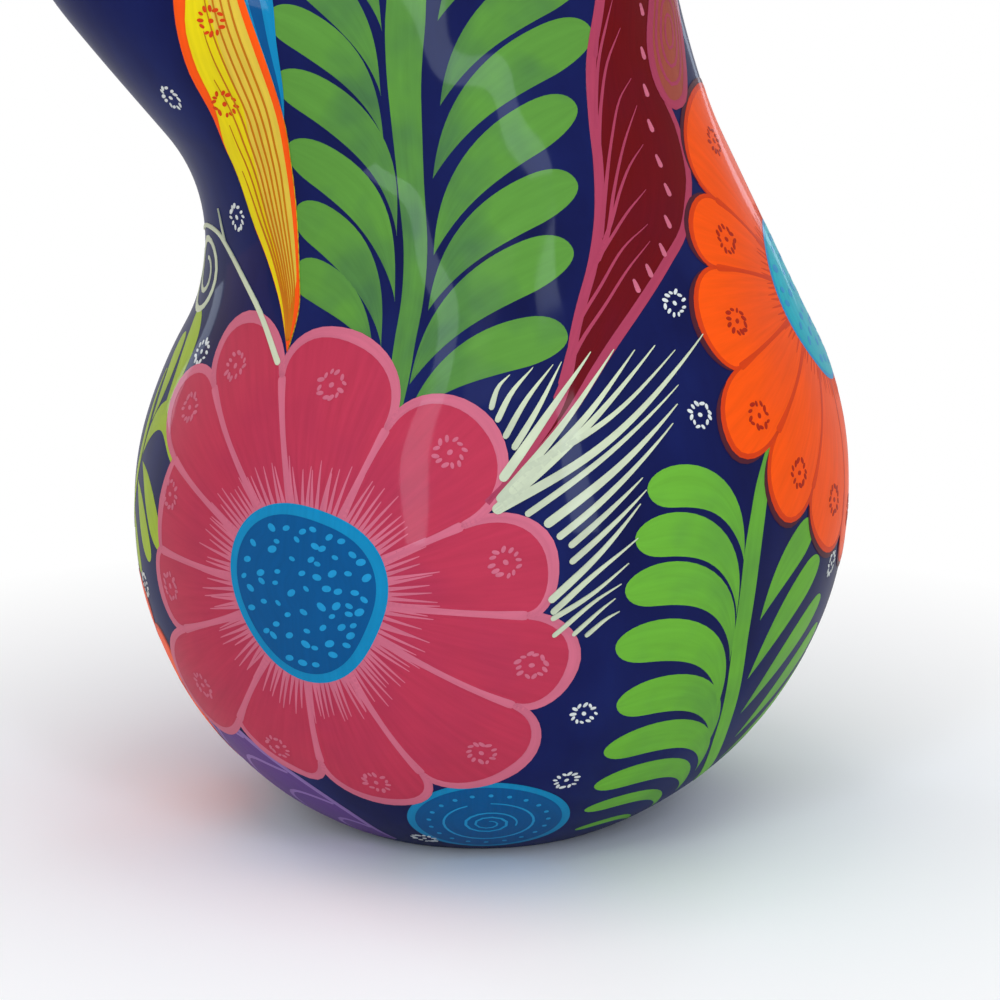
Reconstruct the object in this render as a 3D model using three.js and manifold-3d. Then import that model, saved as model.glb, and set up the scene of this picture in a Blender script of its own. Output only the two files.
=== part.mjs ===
// A painted terracotta pitcher: a ball-shaped belly pressed in two bowls, a narrow neck whose front swells into a
// broad pouring beak, a rolled rim and a pulled loop handle. The clay pieces are luted together with slip, so every
// seam keeps a thin gap. Millimetres, +Z up, the beak towards -X, the origin under the foot's centre.
import * as THREE from "three";
import { mergeVertices } from "three/addons/utils/BufferGeometryUtils.js";
import Module from "manifold-3d";

const wasm = await Module();
wasm.setup();

const degrees = THREE.MathUtils.degToRad;

// Clay
const wall = 6; // thickness, measured square to the surface
const floorThickness = 8;
const lutingGap = 0.3; // the film of slip between two pieces

// Belly and neck, all round. Leans are from upright, positive outward.
const bodyLean = degrees(2.2); // the whole body leans back, towards the handle
const bellyRadius = 90.5;
const footRadius = 38;
const shoulderLean = degrees(-27.7);
const neckRadius = 36; // outside, at the waist
const neckSweep = 170; // radius of the curve from the shoulder into the waist
const backSweep = 110; // radius of the flare from the waist to the back of the rim
const rimHeight = 292;

// Beak, in front
const beakStart = 127; // height where it leaves the shoulder
const beakRootSweep = 43;
const beakLean = degrees(41);
const beakStraightTop = 202; // height where its straight underside ends
const beakCheekSweep = 100;
const beakCheekLean = degrees(8);
const beakLipSweep = 150;
const beakBreadth = 4; // the higher, the narrower the swelling low on the neck
const lipRound = degrees(14); // how blunt the pouring lip is
const lipSpread = degrees(21); // how far round the rim the lip's sides run
const lipSharpenFrom = 190; // height where the broad swelling starts to narrow into the lip

// Rim
const lipRise = 2; // the lip stands this much above the mean height, and the back as much below it
const saddleDip = 6; // how far the rim's sides dip
const saddleFrom = 215; // height below which a level line stays level
const rollHeight = 6;
const rollOverhang = 1.2; // past each face of the wall

// Seams
const bellySeam = 82; // height
const neckSeam = 150;
const ridgeHeight = 2.5; // the scored ridge that locates one piece on the next
const coilHeight = 16; // the coil pressed over a seam inside
const coilThickness = 4;
const beakSeam = 24; // the beak's upright seam lies this far in front of the axis

// Handle, a pulled strap of oval section. Heights are the strap's middle, from the back of the wall's top.
const handleBreadth = 24;
const handleRootBreadth = 32; // where it is luted on
const handleThickness = 15;
const handleLowerDrop = 68;
const handleUpperDrop = 28;
const handleCrownRise = 9;
const handleReach = 62; // from the back of the rim
const handleRimClearance = 4.5; // between the rim and the strap's middle, where the strap passes under the rim
const handleRootShare = 0.25; // the share of the strap, at each end, over which it widens

// Mesh density
const columns = 60;
const crowding = 0.5; // how much the columns crowd towards the beak, where the wall bends most
const handleSteps = 30;
const handleSides = 12;

// A wall's line in a plane through the axis. It starts at a radius, a height and a lean, and each step runs straight
// up to a height, or bends to a new lean with a sweep radius. The line returned gives the radius at a height.
function wallLine(start, steps) {
  let { radius, height, lean } = start;
  const pieces = [];
  for (const step of steps) {
    const [r0, z0, lean0] = [radius, height, lean];
    if (step.sweep === undefined) {
      height = step.upTo;
      radius = r0 + (height - z0) * Math.tan(lean0);
      pieces.push({ top: height, at: (z) => r0 + (z - z0) * Math.tan(lean0) });
    } else {
      const way = Math.sign(step.to - lean0);
      const leanAt = (z) =>
        Math.asin(THREE.MathUtils.clamp(Math.sin(lean0) + (way * (z - z0)) / step.sweep, -1, 1));
      const at = (z) => r0 + way * step.sweep * (Math.cos(lean0) - Math.cos(leanAt(z)));
      lean = step.to;
      height = z0 + way * step.sweep * (Math.sin(lean) - Math.sin(lean0));
      radius = at(height);
      pieces.push({ top: height, at });
    }
  }
  const last = pieces[pieces.length - 1];
  return (z) => (pieces.find((piece) => z <= piece.top) ?? last).at(z);
}

const footLean = Math.acos(footRadius / bellyRadius);
const bellyHeight = bellyRadius * Math.sin(footLean); // of the widest ring
const shoulderTop = bellyHeight - bellyRadius * Math.sin(shoulderLean);
const shoulderTopRadius = bellyRadius * Math.cos(shoulderLean);
const neckStartRadius = neckRadius + neckSweep * (1 - Math.cos(shoulderLean));
const neckStart = shoulderTop + (neckStartRadius - shoulderTopRadius) / Math.tan(shoulderLean);
const rimLean = degrees(60); // no flare gets as steep as this before the rim ends it

const roundLine = wallLine({ radius: footRadius, height: 0, lean: footLean }, [
  { sweep: bellyRadius, to: shoulderLean },
  { upTo: neckStart },
  { sweep: neckSweep, to: 0 },
  { sweep: backSweep, to: rimLean },
]);
const beakLine = wallLine({ radius: roundLine(beakStart), height: beakStart, lean: shoulderLean }, [
  { sweep: beakRootSweep, to: beakLean },
  { upTo: beakStraightTop },
  { sweep: beakCheekSweep, to: beakCheekLean },
  { sweep: beakLipSweep, to: rimLean },
]);

// The share of the beak's reach that shows at an angle from the front: broad low down, narrow at the lip.
function beakShare(angle, z) {
  const front = (1 + Math.cos(angle)) / 2;
  const broad = front ** beakBreadth;
  const narrow = front * Math.exp((lipRound - Math.hypot(angle, lipRound)) / lipSpread);
  return THREE.MathUtils.lerp(broad, narrow, THREE.MathUtils.smoothstep(z, lipSharpenFrom, rimHeight));
}

// The outside of the wall: its distance from the axis at an angle from the front and a height.
function outside(angle, z) {
  const reach = z > beakStart ? beakLine(z) - roundLine(z) : 0;
  return roundLine(z) + reach * beakShare(angle, z);
}

// How far the wall reaches along a level radius for each millimetre of its thickness.
function slant(angle, z) {
  const [turn, rise] = [0.01, 0.25]; // small steps round and up
  const round = (outside(angle + turn, z) - outside(angle - turn, z)) / (2 * turn * outside(angle, z));
  const up = (outside(angle, z + rise) - outside(angle, z - rise)) / (2 * rise);
  return Math.hypot(1, round, up);
}

// The rim dips at the sides and rises at the lip and the back, and the levels below it follow more and more.
function heightAt(angle, level) {
  const saddle = saddleDip * Math.cos(2 * angle) + lipRise * Math.cos(angle);
  return level + saddle * THREE.MathUtils.smoothstep(level, saddleFrom, rimHeight);
}

const axisAt = (z) => z * Math.tan(bodyLean);

// The wall as a place: depth 0 is its outside and depth 1 its inside, and more is further in.
function inWall(angle, depth, level) {
  const z = heightAt(angle, level);
  const r = outside(angle, z) - depth * wall * slant(angle, z);
  return new THREE.Vector3(axisAt(z) - r * Math.cos(angle), -r * Math.sin(angle), z);
}

const axisPoint = (level) => ({ level });
const wallPoint = (depth, level) => ({ depth, level });

// Points up one face of the wall, at even levels.
function face(depth, from, to, steps) {
  return Array.from({ length: steps + 1 }, (_, i) => wallPoint(depth, from + ((to - from) * i) / steps));
}

// A ring of clay from a closed outline of wall points, with the outside face going up. The outline is turned on a
// lathe at a stand-in radius, and then each point goes to its place in the real wall.
function turned(outline) {
  const standIn = 4; // over twice the deepest depth
  const points = outline.map((p) => new THREE.Vector2(p.depth === undefined ? 0 : standIn - p.depth, p.level));
  const closed = points[0].x === 0 ? points : [...points, points[0]];
  const geometry = new THREE.LatheGeometry(closed, columns);
  const place = geometry.getAttribute("position");
  for (let i = 0; i < place.count; i++) {
    const [x, level, y] = [place.getX(i), place.getY(i), place.getZ(i)];
    const radius = Math.hypot(x, y);
    const turn = Math.atan2(x, y);
    const angle = turn - crowding * Math.sin(turn);
    const onAxis = new THREE.Vector3(axisAt(level), 0, level);
    const spot = radius < standIn / 2 ? onAxis : inWall(angle, standIn - radius, level);
    place.setXYZ(i, spot.x, spot.y, spot.z);
  }
  return geometry;
}

function solidFrom(geometry) {
  const bare = geometry.clone();
  bare.deleteAttribute("normal");
  bare.deleteAttribute("uv");
  const merged = mergeVertices(bare);
  return new wasm.Manifold(
    new wasm.Mesh({
      numProp: 3,
      vertProperties: merged.getAttribute("position").array,
      triVerts: new Uint32Array(merged.index.array),
    }),
  );
}

function geometryFrom(solid) {
  const mesh = solid.getMesh();
  const geometry = new THREE.BufferGeometry();
  geometry.setAttribute("position", new THREE.BufferAttribute(mesh.vertProperties, 3));
  geometry.setIndex(new THREE.BufferAttribute(mesh.triVerts, 1));
  return geometry;
}

const clay = (name, colour, roughness) => new THREE.MeshStandardMaterial({ name, color: colour, roughness });
const cobalt = clay("cobalt_paint", 0x0b1252, 0.15);
const terracotta = clay("bare_terracotta", 0xb5623c, 0.85);
const slip = clay("slip_coil", 0xa8573a, 0.9);

const jug = new THREE.Group();

function add(name, geometry, material) {
  const mesh = new THREE.Mesh(geometry, material);
  mesh.name = name;
  jug.add(mesh);
}

// The crest of the ridge on top of a piece. The groove of the next piece, a luting gap higher, has the same form.
const crest = (level) => wallPoint(0.5, level + ridgeHeight);

// The slab that the jug stands on
function baseDisc() {
  const steps = 3;
  return turned([axisPoint(0), ...face(0, 0, floorThickness, steps), axisPoint(floorThickness)]);
}

// The lower bowl of the belly, from the slab to the widest ring
function lowerBelly() {
  const [from, steps] = [floorThickness + lutingGap, 7];
  return turned([...face(0, from, bellySeam, steps), crest(bellySeam), ...face(1, bellySeam, from, steps)]);
}

// The upper bowl, from the widest ring over the shoulder
function upperBelly() {
  const [from, steps] = [bellySeam + lutingGap, 6];
  const [outer, inner] = [face(0, from, neckSeam, steps), face(1, neckSeam, from, steps)];
  return turned([...outer, crest(neckSeam), ...inner, crest(from)]);
}

// The neck and beak as one wall, before the beak is cut from it
function neckWall() {
  const [from, steps] = [neckSeam + lutingGap, 11];
  return turned([...face(0, from, rimHeight, steps), ...face(1, rimHeight, from, steps), crest(from)]);
}

// A box that holds everything in front of the beak's upright seam, or everything behind it.
function sideOfBeakSeam(front) {
  const size = 4 * rimHeight;
  const way = front ? -1 : 1;
  const box = new THREE.BoxGeometry(size, size, size);
  box.translate(-beakSeam + way * (lutingGap / 2 + size / 2), 0, 0);
  return solidFrom(box);
}

// A coil of clay pressed over a seam from inside
function seamCoil(seam) {
  const [flush, proud] = [1 + lutingGap / wall, 1 + coilThickness / wall];
  const [half, quarter] = [coilHeight / 2, coilHeight / 4];
  return turned([
    wallPoint(flush, seam - half),
    wallPoint(flush, seam),
    wallPoint(flush, seam + half),
    wallPoint(proud, seam + quarter),
    wallPoint(proud, seam - quarter),
  ]);
}

// The roll of clay that stiffens the mouth: its overhang is widest low down and eases in towards the crown
function rimRoll() {
  const [seat, over] = [rimHeight + lutingGap, rollOverhang / wall];
  const [widest, eased, easing] = [seat + 0.35 * rollHeight, seat + 0.78 * rollHeight, 0.4];
  return turned([
    wallPoint(0, seat),
    wallPoint(-over, widest),
    wallPoint(-over * easing, eased),
    wallPoint(0.5, seat + rollHeight),
    wallPoint(1 + over * easing, eased),
    wallPoint(1 + over, widest),
    wallPoint(1, seat),
  ]);
}

// The middle of the strap, from inside the wall under the rim, over the crown and down to inside the wall again
function handleRoute() {
  const back = (z) => axisAt(z) + roundLine(z);
  const wallTop = heightAt(Math.PI, rimHeight);
  const rimBack = back(wallTop) + rollOverhang;
  const [lowerRoot, crown] = [wallTop - handleLowerDrop, wallTop + handleCrownRise];
  const inside = (z) => new THREE.Vector3(back(z) - wall, 0, z);
  const bow = (out, up) =>
    new THREE.Vector3(rimBack + out * handleReach, 0, THREE.MathUtils.lerp(lowerRoot, crown, up));
  const bends = [
    inside(wallTop - handleUpperDrop),
    new THREE.Vector3(rimBack + handleRimClearance, 0, wallTop - 0.8 * handleThickness),
    bow(0.37, 0.94),
    bow(0.69, 1),
    bow(0.92, 0.86),
    bow(1, 0.58),
    bow(0.9, 0.28),
    bow(0.59, 0.06),
    bow(0.18, -0.02),
    inside(lowerRoot),
  ];
  return new THREE.CatmullRomCurve3(bends, false, "centripetal");
}

// The strap: a rod bent along the route in the plane y = 0, and wider towards both roots
function handleStrap() {
  const route = handleRoute();
  const strap = new THREE.CylinderGeometry(0.5, 0.5, 1, handleSides, handleSteps);
  const place = strap.getAttribute("position");
  for (let i = 0; i < place.count; i++) {
    const along = 0.5 + place.getY(i);
    const toRoot = Math.max(0, 1 - Math.min(along, 1 - along) / handleRootShare);
    const spread = THREE.MathUtils.lerp(1, handleRootBreadth / handleBreadth, toRoot ** 2);
    const across = place.getX(i) * handleBreadth * spread;
    const out = place.getZ(i) * handleThickness * spread;
    const middle = route.getPointAt(along);
    const tangent = route.getTangentAt(along);
    place.setXYZ(i, middle.x + out * tangent.z, across, middle.z - out * tangent.x);
  }
  return solidFrom(strap);
}

// Everything inside the neck's outer face and a luting gap more, which the strap's roots are cut to
function neckCore() {
  const steps = 16;
  const skin = face(-lutingGap / wall, neckSeam, rimHeight, steps);
  return solidFrom(turned([axisPoint(neckSeam), ...skin, axisPoint(rimHeight)]));
}

const neckSolid = solidFrom(neckWall());

add("base_disc", baseDisc(), terracotta);
add("lower_belly", lowerBelly(), cobalt);
add("belly_seam_coil", seamCoil(bellySeam), slip);
add("upper_belly", upperBelly(), cobalt);
add("neck_seam_coil", seamCoil(neckSeam), slip);
add("neck", geometryFrom(neckSolid.intersect(sideOfBeakSeam(false))), cobalt);
add("beak", geometryFrom(neckSolid.intersect(sideOfBeakSeam(true))), cobalt);
add("rim_roll", rimRoll(), cobalt);
add("handle", geometryFrom(handleStrap().subtract(neckCore())), cobalt);

export default jug;
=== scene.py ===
# A painted terracotta pitcher: its clay skins, the varnished folk painting, studio light and a pale floor.
#
# A place on the wall is (turn, height): the turn in degrees round the body, 0 at the beak, 90 facing the
# camera and 180 at the handle, and the height in millimetres. Lengths are millimetres until a mesh is
# made, which is in metres.
import math

import bpy
import numpy as np
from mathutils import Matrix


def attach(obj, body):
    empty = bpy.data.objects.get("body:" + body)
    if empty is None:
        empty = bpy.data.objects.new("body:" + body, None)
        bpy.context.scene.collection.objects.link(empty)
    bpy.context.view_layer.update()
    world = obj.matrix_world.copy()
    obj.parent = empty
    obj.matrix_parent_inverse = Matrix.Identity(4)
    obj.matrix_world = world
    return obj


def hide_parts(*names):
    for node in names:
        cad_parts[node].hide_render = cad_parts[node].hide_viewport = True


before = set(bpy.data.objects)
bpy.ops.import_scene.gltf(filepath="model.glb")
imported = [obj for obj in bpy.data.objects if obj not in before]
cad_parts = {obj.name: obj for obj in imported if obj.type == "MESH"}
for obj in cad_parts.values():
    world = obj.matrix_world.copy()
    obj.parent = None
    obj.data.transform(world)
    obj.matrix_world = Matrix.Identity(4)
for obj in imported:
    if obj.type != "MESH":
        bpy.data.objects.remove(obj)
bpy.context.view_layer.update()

MM = 0.001
dice = np.random.default_rng(7)

# Clay and the wall's line, the same sizes as the solids
WALL = 6
FLOOR_THICKNESS = 8
BODY_LEAN = math.radians(2.2)
BELLY_RADIUS = 90.5
FOOT_RADIUS = 38
SHOULDER_LEAN = math.radians(-27.7)
NECK_RADIUS = 36
NECK_SWEEP = 170
BACK_SWEEP = 110
RIM_HEIGHT = 292
RIM_LEAN = math.radians(60)
BEAK_START = 127
BEAK_ROOT_SWEEP = 43
BEAK_LEAN = math.radians(41)
BEAK_STRAIGHT_TOP = 202
BEAK_CHEEK_SWEEP = 100
BEAK_CHEEK_LEAN = math.radians(8)
BEAK_LIP_SWEEP = 150
BEAK_BREADTH = 4
LIP_ROUND = math.radians(14)
LIP_SPREAD = math.radians(21)
LIP_SHARPEN_FROM = 190
LIP_RISE = 2
SADDLE_DIP = 6
SADDLE_FROM = 215
ROLL_HEIGHT = 6
ROLL_OVERHANG = 1.2
LUTING_GAP = 0.3
BELLY_SEAM = 82
NECK_SEAM = 150
BEAK_SEAM = 24
HANDLE_BREADTH = 24
HANDLE_ROOT_BREADTH = 32
HANDLE_THICKNESS = 15
HANDLE_LOWER_DROP = 68
HANDLE_UPPER_DROP = 28
HANDLE_CROWN_RISE = 9
HANDLE_REACH = 62
HANDLE_RIM_CLEARANCE = 4.5
HANDLE_ROOT_SHARE = 0.25
HANDLE_SEAT = 1  # how deep the sides of its ends sink into the wall; their flat middles go deeper
RIPPLE = 0.1  # the hand-made wall's shallow waves, which bend its reflections
RIPPLES = [(9, 11, 0), (13, -7, 2)]  # waves round the body, height for a radian, and the phase of each set
PAINTED_BAND = 14  # how far down the inside of the mouth is painted

# Grids
CELL = 2.0  # spacing on the wall
CURVE_STEPS = 16  # points between two of the places that a line goes through
BASE_SIDE = 61  # points each way on the flat base
BEAK_COLUMNS, NECK_COLUMNS = 90, 130
ROLL_SIDES = 28
HANDLE_ROWS, HANDLE_COLUMNS = 121, 48
DOT_SIDE, INNER_SIDE, OUTER_SIDE = 5, 23, 25  # a dab's square grid, and those of two blobs that overlap

# Paint
FILM = 0.04  # each layer of paint stands this much above the one below
KEY = 0.25  # how deep a stroke is keyed into the clay below it
THIN = 0.03  # half the width of a stroke where the brush lifts off
BRUSH_MAP = 100  # length on the wall for one unit of the map that the brush's streaks follow
BRUSH_MAP_SPREAD = 20  # strokes start at random places of that map, up to here


def straight_run(radius, height, lean):
    return lambda z: radius + (z - height) * math.tan(lean)


def bent_run(radius, height, lean, sweep, way):
    def at(z):
        sine = np.clip(math.sin(lean) + way * (z - height) / sweep, -1, 1)
        return radius + way * sweep * (math.cos(lean) - np.sqrt(1 - sine**2))

    return at


def wall_line(radius, height, lean, steps):
    """The wall's radius at a height. Its runs go straight up to a height, or bend to a new lean."""
    runs = []
    for step in steps:
        if "up_to" in step:
            run, top = straight_run(radius, height, lean), step["up_to"]
        else:
            way = math.copysign(1, step["to"] - lean)
            run = bent_run(radius, height, lean, step["sweep"], way)
            top = height + way * step["sweep"] * (math.sin(step["to"]) - math.sin(lean))
            lean = step["to"]
        radius, height = float(run(top)), top
        runs.append((top, run))

    def line(z):
        r = runs[-1][1](z)
        for top, run in reversed(runs[:-1]):
            r = np.where(z <= top, run(z), r)
        return r

    return line


def belly_and_back():
    foot_lean = math.acos(FOOT_RADIUS / BELLY_RADIUS)
    shoulder_top = BELLY_RADIUS * (math.sin(foot_lean) - math.sin(SHOULDER_LEAN))
    shoulder_radius = BELLY_RADIUS * math.cos(SHOULDER_LEAN)
    neck_start_radius = NECK_RADIUS + NECK_SWEEP * (1 - math.cos(SHOULDER_LEAN))
    neck_start = shoulder_top + (neck_start_radius - shoulder_radius) / math.tan(SHOULDER_LEAN)
    steps = [
        {"sweep": BELLY_RADIUS, "to": SHOULDER_LEAN},
        {"up_to": neck_start},
        {"sweep": NECK_SWEEP, "to": 0},
        {"sweep": BACK_SWEEP, "to": RIM_LEAN},
    ]
    return wall_line(FOOT_RADIUS, 0, foot_lean, steps)


def beak_front():
    steps = [
        {"sweep": BEAK_ROOT_SWEEP, "to": BEAK_LEAN},
        {"up_to": BEAK_STRAIGHT_TOP},
        {"sweep": BEAK_CHEEK_SWEEP, "to": BEAK_CHEEK_LEAN},
        {"sweep": BEAK_LIP_SWEEP, "to": RIM_LEAN},
    ]
    return wall_line(float(round_line(BEAK_START)), BEAK_START, SHOULDER_LEAN, steps)


round_line = belly_and_back()
beak_line = beak_front()


def smoothstep(x, low, high):
    t = np.clip((x - low) / (high - low), 0, 1)
    return t * t * (3 - 2 * t)


def outside(angle, z):
    """The wall's distance from the axis at an angle from the front and a height."""
    angle = (angle + math.pi) % (2 * math.pi) - math.pi
    front = (1 + np.cos(angle)) / 2
    narrow = front * np.exp((LIP_ROUND - np.hypot(angle, LIP_ROUND)) / LIP_SPREAD)
    sharp = smoothstep(z, LIP_SHARPEN_FROM, RIM_HEIGHT)
    share = (1 - sharp) * front**BEAK_BREADTH + sharp * narrow
    reach = np.where(z > BEAK_START, beak_line(z) - round_line(z), 0)
    ripple = sum(np.sin(waves * angle + z / rise + phase) for waves, rise, phase in RIPPLES)
    return round_line(z) + reach * share + RIPPLE * ripple * smoothstep(z, 0, FLOOR_THICKNESS)


def axis_at(z):
    return z * math.tan(BODY_LEAN)


def place(angle, z, inward=0):
    """The point of the wall at an angle and a height, moved level towards the axis by a distance."""
    r = outside(angle, z) - inward
    return np.stack([axis_at(z) - r * np.cos(angle), -r * np.sin(angle), z + 0 * r], -1)


def unit(v):
    return v / np.linalg.norm(v, axis=-1, keepdims=True)


def facing(angle, z):
    """The wall's outward direction."""
    turn, rise = 0.004, 0.2
    across = place(angle + turn, z) - place(angle - turn, z)
    up = place(angle, z + rise) - place(angle, z - rise)
    return unit(np.cross(across, up))


def slant(angle, z):
    """How far the wall reaches along a level radius for each millimetre of its thickness."""
    n = facing(angle, z)
    return 1 / np.abs(n[..., 0] * np.cos(angle) + n[..., 1] * np.sin(angle))


def height_at(angle, level):
    saddle = SADDLE_DIP * np.cos(2 * angle) + LIP_RISE * np.cos(angle)
    return level + saddle * smoothstep(level, SADDLE_FROM, RIM_HEIGHT)


def in_wall(angle, depth, level):
    z = height_at(angle, level)
    return place(angle, z, depth * WALL * slant(angle, z))


def locate(points):
    """The angle and height of points near the wall."""
    z = points[..., 2]
    return np.arctan2(-points[..., 1], axis_at(z) - points[..., 0]), z


def settle(points):
    return place(*locate(points))


# Lines and meshes


def distances(line):
    """The distance along a line of points, up to each of them."""
    steps = np.linalg.norm(np.diff(line, axis=0), axis=1)
    return np.concatenate([[0], np.cumsum(steps)])


def sampled(line, at, along):
    """Points at distances on a line whose own points lie at the distances along it."""
    return np.stack([np.interp(at, along, line[:, k]) for k in range(line.shape[1])], -1)


def curve(points, fractions):
    """Points at fractions of a smooth line through the given points, a centripetal Catmull-Rom curve."""
    p = np.asarray(points, float)
    p = np.vstack([2 * p[0] - p[1], p, 2 * p[-1] - p[-2]])
    gaps = np.sqrt(np.linalg.norm(np.diff(p, axis=0), axis=1))
    t = np.linspace(0, 1, CURVE_STEPS)[:, None]
    spans = []
    for i in range(1, len(p) - 2):
        a, b, c = gaps[i - 1 : i + 2]
        rise = p[i + 1] - p[i]
        leave = ((p[i] - p[i - 1]) / a - (p[i + 1] - p[i - 1]) / (a + b) + rise / b) * b
        arrive = (rise / b - (p[i + 2] - p[i]) / (b + c) + (p[i + 2] - p[i + 1]) / c) * b
        square, cube = 3 * rise - 2 * leave - arrive, leave + arrive - 2 * rise
        spans.append(p[i] + leave * t + square * t**2 + cube * t**3)
    line = np.vstack(spans)
    along = distances(line)
    return sampled(line, np.asarray(fractions) * along[-1], along)


def numbered(rows, columns, around=False):
    """The numbers of a grid's points. Where it closes round, its first column comes again at the end."""
    index = np.arange(rows * columns).reshape(rows, columns)
    return np.column_stack([index, index[:, 0]]) if around else index


def quads_of(index):
    return np.stack([index[:-1, :-1], index[:-1, 1:], index[1:, 1:], index[1:, :-1]], -1).reshape(-1, 4)


def slab(outer, inner, around=False):
    """A closed body between two grids, whose columns run to the right and rows up, seen from outside."""
    rows, columns = outer.shape[:2]
    index = numbered(rows, columns, around)
    if around:
        rims = [index[0], index[-1, ::-1]]
    else:
        rims = [np.concatenate([index[0], index[1:, -1], index[-1, -2::-1], index[-2::-1, 0]])]
    inside = rows * columns
    faces = [quads_of(index), quads_of(index)[:, ::-1] + inside]
    for rim in rims:
        faces.append(np.stack([rim[:-1], rim[:-1] + inside, rim[1:] + inside, rim[1:]], -1))
    return np.concatenate([outer.reshape(-1, 3), inner.reshape(-1, 3)]), np.concatenate(faces)


def add_object(name, data):
    added = bpy.data.objects.new(name, data)
    bpy.context.scene.collection.objects.link(added)
    return added


def make_piece(name, points, quads, normals, looks, uvs=None, slots=None):
    """A smooth mesh object in metres from points in millimetres, with its own normals."""
    mesh = bpy.data.meshes.new(name)
    mesh.from_pydata((points * MM).tolist(), [], quads.tolist())
    for look in looks:
        mesh.materials.append(look)
    if slots is not None:
        mesh.polygons.foreach_set("material_index", slots.astype(np.int32))
    if uvs is not None:
        for layer_name, columns in (("brush", [0, 1]), ("load", [2, 2])):
            layer = mesh.uv_layers.new(name=layer_name)
            layer.data.foreach_set("uv", uvs[quads.ravel()][:, columns].astype(np.float32).ravel())
    mesh.shade_smooth()
    mesh.normals_split_custom_set_from_vertices(normals.tolist())
    mesh.update()
    piece = add_object(name, mesh)
    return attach(piece, "root")


# Materials


def linear(hex_colour):
    """A colour in six hex digits, as the linear values that a shader takes, by the sRGB formula."""
    parts = [int(hex_colour[i : i + 2], 16) / 255 for i in (1, 3, 5)]
    return [c / 12.92 if c <= 0.04045 else ((c + 0.055) / 1.055) ** 2.4 for c in parts] + [1]


def grey(level):
    return [level, level, level, 1]


MIX_FACTOR, MIX_A, MIX_B, MIX_RESULT = 0, 6, 7, 2  # the sockets of a mix of colours


class Nodes:
    """The node tree of a material or a world, with short ways to add and join nodes."""

    def __init__(self, owner, shader="Principled BSDF"):
        owner.use_nodes = True
        self.owner, self.tree = owner, owner.node_tree
        self.shader = self.tree.nodes[shader]

    def set(self, node, key, value):
        if isinstance(value, bpy.types.NodeSocket):
            self.tree.links.new(value, node.inputs[key])
        else:
            node.inputs[key].default_value = value

    def fill(self, node, inputs):
        for key, value in inputs.items():
            self.set(node, key.replace("_", " "), value)

    def add(self, kind, settings=None, **inputs):
        node = self.tree.nodes.new("ShaderNode" + kind)
        for key, value in (settings or {}).items():
            setattr(node, key, value)
        self.fill(node, inputs)
        return node

    def shade(self, **inputs):
        """Sets inputs of the shader and gives back the material or world."""
        self.fill(self.shader, inputs)
        return self.owner

    def combine(self, operation, a, b):
        node = self.add("Math", {"operation": operation})
        self.set(node, 0, a)
        self.set(node, 1, b)
        return node.outputs[0]

    def mix(self, factor, a, b, blend="MIX"):
        node = self.add("Mix", {"data_type": "RGBA", "blend_type": blend})
        for index, value in ((MIX_FACTOR, factor), (MIX_A, a), (MIX_B, b)):
            self.set(node, index, value)
        return node.outputs[MIX_RESULT]

    def ramp(self, factor, low, high, start=0.0):
        """Rises from start to 1 while the factor goes from low to high."""
        return self.add("MapRange", Value=factor, From_Min=low, From_Max=high, To_Min=start).outputs[0]

    def stretched(self, vector, *scale):
        return self.add("Mapping", Vector=vector, Scale=scale).outputs[0]

    def noise(self, vector, scale, detail=3.0, roughness=0.55):
        node = self.add("TexNoise", Vector=vector, Scale=scale, Detail=detail, Roughness=roughness)
        return node.outputs["Fac"]

    def bump(self, height, depth, strength, **under):
        """The relief of a height, of a depth in metres, over another normal where one is given."""
        node = self.add("Bump", Height=height, Distance=depth, Strength=strength, **under)
        return node.outputs["Normal"]


# One smooth coat of varnish over matt paint
VARNISHED = {
    "Roughness": 0.5, "Specular_IOR_Level": 0.02,
    "Coat_Weight": 0.14, "Coat_IOR": 1.5, "Coat_Roughness": 0.06,
}
BRISTLE_DEPTH = 0.00003  # metres, as all that a material measures
NOISE_SPAN = (0.3, 0.7)  # nearly all of a noise lies between these
GROUND_TONE = "#081148"


def brushed(name, hex_colour, sheer=0.08):
    """Brushed paint, streaked along the stroke. Where it is thin, a share of the ground shows through."""
    nodes = Nodes(bpy.data.materials.new(name))
    across, along, whole = 70.0, 5.0, 1.0
    thinnest, fullest, darkest, lightest = 0.2, 1.3, 0.93, 1.06
    uv, load = (nodes.add("UVMap", {"uv_map": layer}).outputs[0] for layer in ("brush", "load"))
    load = nodes.add("SeparateXYZ", Vector=load).outputs[0]
    streaks = nodes.ramp(nodes.noise(nodes.stretched(uv, across, along, 1.0), scale=1.0), *NOISE_SPAN)
    clouds = nodes.ramp(nodes.noise(uv, scale=6.0, detail=2.0), *NOISE_SPAN)
    paint = linear(hex_colour)
    thin = [p * (1 - sheer) + g * sheer for p, g in zip(paint, linear(GROUND_TONE))]
    toned = nodes.mix(nodes.ramp(nodes.combine("ADD", clouds, load), thinnest, fullest), thin, paint)
    streaked = nodes.mix(streaks, grey(darkest), grey(lightest))
    colour = nodes.mix(whole, toned, streaked, "MULTIPLY")
    relief = nodes.bump(streaks, BRISTLE_DEPTH, strength=0.5)
    return nodes.shade(Base_Color=colour, Normal=relief, **VARNISHED)


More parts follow.
